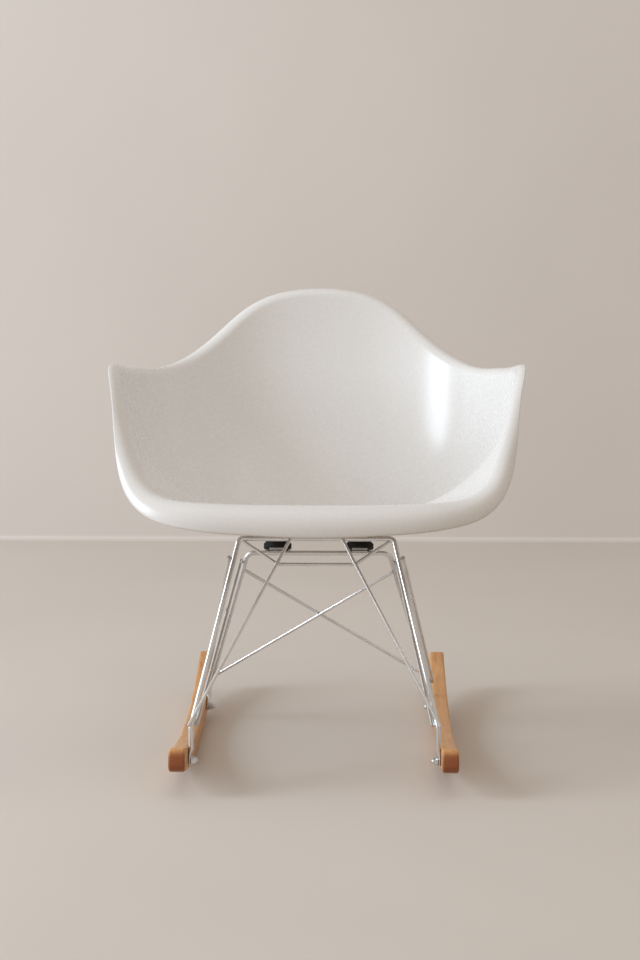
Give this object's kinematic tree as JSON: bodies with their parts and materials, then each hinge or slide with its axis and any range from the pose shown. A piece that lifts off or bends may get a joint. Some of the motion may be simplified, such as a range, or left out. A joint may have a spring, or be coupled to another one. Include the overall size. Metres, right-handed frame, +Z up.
{
  "type": "moulded plastic rocking chair",
  "caption": "Moulded plastic armchair shell with a rolled rim, carried by rubber pads on a welded wire base that is bolted to curved wooden rocker runners.",
  "frame": {"origin": "On the floor under the middle of the runners, where they touch it, halfway between left and right.", "axes": "+Z up, -Y towards the front lip of the seat, +X to the right seen from the front."},
  "size_m": [0.6313, 0.6796, 0.6959],
  "materials": {
    "shell_plastic": "satin gloss white",
    "zinc_wire": "bright zinc plated rod",
    "fastener_steel": "plated steel",
    "insert_brass": "plain brass",
    "pad_rubber": "matt black",
    "runner_wood": "clear varnish"
  },
  "bodies": {
    "root": {"seat_shell": "shell_plastic", "thread_inserts": "insert_brass", "front_left_mounting_pad": "pad_rubber", "front_right_mounting_pad": "pad_rubber", "rear_left_mounting_pad": "pad_rubber", "rear_right_mounting_pad": "pad_rubber", "front_frame_rod": "zinc_wire", "rear_frame_rod": "zinc_wire", "left_falling_side_brace": "zinc_wire", "right_falling_side_brace": "zinc_wire", "left_rising_side_brace": "zinc_wire", "right_rising_side_brace": "zinc_wire", "left_front_strut": "zinc_wire", "right_front_strut": "zinc_wire", "front_zigzag_strut": "zinc_wire", "rear_cross_strut_front": "zinc_wire", "rear_cross_strut_back": "zinc_wire", "front_left_mount_plate": "zinc_wire", "front_right_mount_plate": "zinc_wire", "rear_left_mount_plate": "zinc_wire", "rear_right_mount_plate": "zinc_wire", "mount_screws": "fastener_steel", "mount_screw_washers": "fastener_steel", "runner_bolts": "fastener_steel", "runner_washers": "fastener_steel", "runner_cap_nuts": "fastener_steel", "left_runner": "runner_wood", "right_runner": "runner_wood"}
  },
  "joints": []
}
